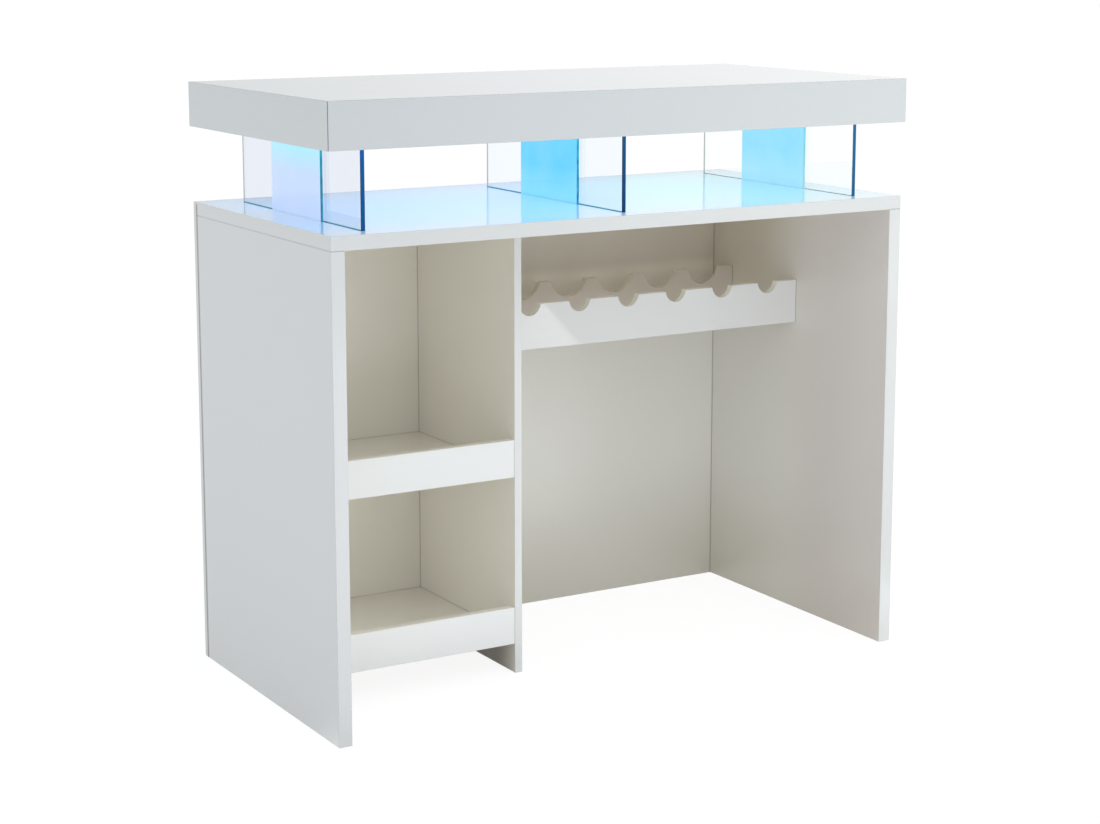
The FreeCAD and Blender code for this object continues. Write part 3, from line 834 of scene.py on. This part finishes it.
# Gloss mirrors a brighter part of the floor in front of the bar, left of a slanting line:
# X + slant * Y = edge. Y has soft limits far from the bar and near it.
BRIGHT_SLANT = 0.421
BRIGHT_EDGE = 0.595
BRIGHT_SOFTNESS = 0.01
BRIGHT_FAR = (-4.4, -3.8)
BRIGHT_NEAR = (-0.1, -0.6)
BRIGHT_FLOOR = 3.0
FLOOR_GLOW = 1.1
FLOOR_GLOW_SHARE = 0.82
FLOOR_HALF = 30.0


def floor_material():
    """A plain pale floor that keeps the cabinet's shadow."""
    s = Surface("floor")
    grain = s.noise(3.0, detail=3.0)
    tint = s.mix(grain, srgb(240, 240, 240), srgb(243, 243, 243))
    matt = s.principled(tint, 0.9, Specular_IOR_Level=0.1)
    x, y, _ = s.axes(s.place)
    across = s.math("ADD", x, s.times(y, BRIGHT_SLANT))
    bright = s.times(
        s.rise(across, BRIGHT_EDGE + BRIGHT_SOFTNESS, BRIGHT_EDGE - BRIGHT_SOFTNESS),
        s.times(s.rise(y, *BRIGHT_FAR), s.rise(y, *BRIGHT_NEAR)),
        s.light_path("Is Glossy Ray"),
    )
    glow = s.tree.nodes.new("ShaderNodeEmission")
    glow.inputs["Color"].default_value = WHITE
    strength = s.math("ADD", s.times(bright, BRIGHT_FLOOR), FLOOR_GLOW)
    s.link(strength, glow.inputs["Strength"])
    rays = ("Is Camera Ray", "Is Glossy Ray", "Is Transmission Ray")
    seen = s.any_of([s.light_path(ray) for ray in rays])
    return s.finish(s.blend_shaders(s.times(seen, FLOOR_GLOW_SHARE), matt, glow.outputs[0]))


def make_floor():
    bm = bmesh.new()
    bmesh.ops.create_grid(bm, x_segments=2, y_segments=2, size=FLOOR_HALF)
    mesh = bpy.data.meshes.new("floor")
    bm.to_mesh(mesh)
    bm.free()
    mesh.materials.append(floor_material())
    floor = bpy.data.objects.new("floor", mesh)
    scene.collection.objects.link(floor)


# Levels of the light from the front and the rear half, at the horizon and above
FRONT_LIGHT = (0.62, 1.09)
REAR_LIGHT = (0.45, 0.5)
# Shares upwards over which each level rises, and shares along Y over which the halves blend
LIGHT_RISE = (0.1, 0.5)
HALVES_BLEND = (-0.2, 0.2)
# Share to the right of a mirrored direction, from and to, and the brightness there
MIRRORED = (0.35, 0.62, 0.73, 1.0)
# Share upwards, from and to, and what it adds
MIRRORED_LIFT = (0.065, 0.10, 0.0, 0.15)


def make_world():
    """Soft light from the front and the rear half, each with its level at the horizon and above.

    The camera sees plain white, also through glass.
    Gloss mirrors surroundings that get brighter upwards and towards the right of the cabinet."""
    world = bpy.data.worlds.new("studio")
    scene.world = world
    world.use_nodes = True
    tree = world.node_tree
    tree.nodes.clear()
    out = tree.nodes.new("ShaderNodeOutputWorld")
    path = tree.nodes.new("ShaderNodeLightPath")
    seen = tree.nodes.new("ShaderNodeMath")
    seen.operation = "MAXIMUM"
    tree.links.new(path.outputs["Is Camera Ray"], seen.inputs[0])
    tree.links.new(path.outputs["Is Transmission Ray"], seen.inputs[1])
    direction = tree.nodes.new("ShaderNodeTexCoord")
    split = tree.nodes.new("ShaderNodeSeparateXYZ")
    tree.links.new(direction.outputs["Generated"], split.inputs[0])
    front, rear, aside, lift, halves = [tree.nodes.new("ShaderNodeMapRange") for _ in range(5)]
    for node, share, values in (
        (front, "Z", (*LIGHT_RISE, *FRONT_LIGHT)),
        (rear, "Z", (*LIGHT_RISE, *REAR_LIGHT)),
        (halves, "Y", (*HALVES_BLEND, 0.0, 1.0)),
        (aside, "X", MIRRORED),
        (lift, "Z", MIRRORED_LIFT),
    ):
        tree.links.new(split.outputs[share], node.inputs["Value"])
        for key, value in zip(("From Min", "From Max", "To Min", "To Max"), values):
            node.inputs[key].default_value = value
    blend = tree.nodes.new("ShaderNodeMix")
    tree.links.new(halves.outputs[0], blend.inputs[0])
    tree.links.new(front.outputs[0], blend.inputs[2])
    tree.links.new(rear.outputs[0], blend.inputs[3])
    brightness = tree.nodes.new("ShaderNodeMath")
    tree.links.new(aside.outputs[0], brightness.inputs[0])
    tree.links.new(lift.outputs[0], brightness.inputs[1])
    light, mirrored, white = [tree.nodes.new("ShaderNodeBackground") for _ in range(3)]
    light.inputs["Color"].default_value = (*LIGHT_TINT, 1.0)
    mirrored.inputs["Color"].default_value = WHITE
    white.inputs["Color"].default_value = WHITE
    white.inputs["Strength"].default_value = 1.0
    tree.links.new(blend.outputs[0], light.inputs["Strength"])
    tree.links.new(brightness.outputs[0], mirrored.inputs["Strength"])
    gloss, sight = [tree.nodes.new("ShaderNodeMixShader") for _ in range(2)]
    tree.links.new(path.outputs["Is Glossy Ray"], gloss.inputs[0])
    tree.links.new(light.outputs[0], gloss.inputs[1])
    tree.links.new(mirrored.outputs[0], gloss.inputs[2])
    tree.links.new(seen.outputs[0], sight.inputs[0])
    tree.links.new(gloss.outputs[0], sight.inputs[1])
    tree.links.new(white.outputs[0], sight.inputs[2])
    tree.links.new(sight.outputs[0], out.inputs["Surface"])


def area_lamp(name, place, aim, size, watts, color):
    """A soft rectangular lamp at a place, turned towards its aim."""
    data = bpy.data.lights.new(name, "AREA")
    data.shape = "RECTANGLE"
    data.size, data.size_y = size
    data.energy = watts
    data.color = color
    lamp = bpy.data.objects.new(name, data)
    lamp.location = place
    lamp.rotation_euler = (Vector(aim) - Vector(place)).to_track_quat("-Z", "Y").to_euler()
    lamp.visible_camera = False
    lamp.visible_glossy = False
    lamp.visible_transmission = False
    scene.collection.objects.link(lamp)


# Each lamp: place, aim, width and height, watts.
# The two in the cubbies stand for light thrown back by the panels.
LAMPS = {
    "low_front": ((0.3, -4.6, 0.65), (0.0, 0.0, 0.55), (1.6, 0.8), 2.5),
    "floor_front": ((0.1, -1.8, 0.02), (0.1, -1.8, 1.0), (3.0, 1.4), 12.6),
    "floor_left": ((-1.9, 0.2, 0.03), (-1.9, 0.2, 1.0), (1.6, 2.4), 3.0),
    "upper_cubby": ((-0.5665, 0.06, 0.62), (0.0, 0.06, 0.62), (0.30, 0.40), 0.16),
    "lower_cubby": ((-0.5665, 0.06, 0.235), (0.0, 0.06, 0.235), (0.30, 0.26), 0.20),
}
# The light that the lit plates and the slab's underside throw on the counter:
# place along X, watts and colour
GALLERY_LIGHT = {
    "left": (-0.387, 0.80, (0.06, 0.46, 1.0)),
    "middle": (0.0, 0.88, (0.25, 0.52, 1.0)),
    "right": (0.387, 0.59, (0.25, 0.86, 1.0)),
}
GALLERY_LIGHT_HEIGHT = 1.0165
GALLERY_LIGHT_SIZE = (0.387, 0.57)

make_floor()
make_world()
for name, (place, aim, size, watts) in LAMPS.items():
    area_lamp(name, place, aim, size, watts, LIGHT_TINT)
for side, (x, watts, color) in GALLERY_LIGHT.items():
    place, aim = (x, 0.0, GALLERY_LIGHT_HEIGHT), (x, 0.0, COUNTER_TOP)
    area_lamp(f"glow_{side}", place, aim, GALLERY_LIGHT_SIZE, watts, color)


# Camera, fitted to the straight edges of the photograph of 1100 x 824 pixels
VIEW_PLACE = (-2.1683, -3.6511, 1.3580)
VIEW_YAW = math.radians(30.67)
VIEW_PITCH = math.radians(9.89)
VIEW_LENS = 74.29
VIEW_SENSOR = 36.0
VIEW_SHIFT = -0.07
VIEW_REACH = 200.0

camera_data = bpy.data.cameras.new("camera")
camera_data.sensor_fit = "HORIZONTAL"
camera_data.sensor_width = VIEW_SENSOR
camera_data.lens = VIEW_LENS
camera_data.shift_y = VIEW_SHIFT
camera_data.clip_end = VIEW_REACH
camera = bpy.data.objects.new("camera", camera_data)
camera.location = VIEW_PLACE
camera.rotation_euler = (math.pi / 2 - VIEW_PITCH, 0.0, -VIEW_YAW)
scene.collection.objects.link(camera)
scene.camera = camera

scene.view_settings.view_transform = "Standard"
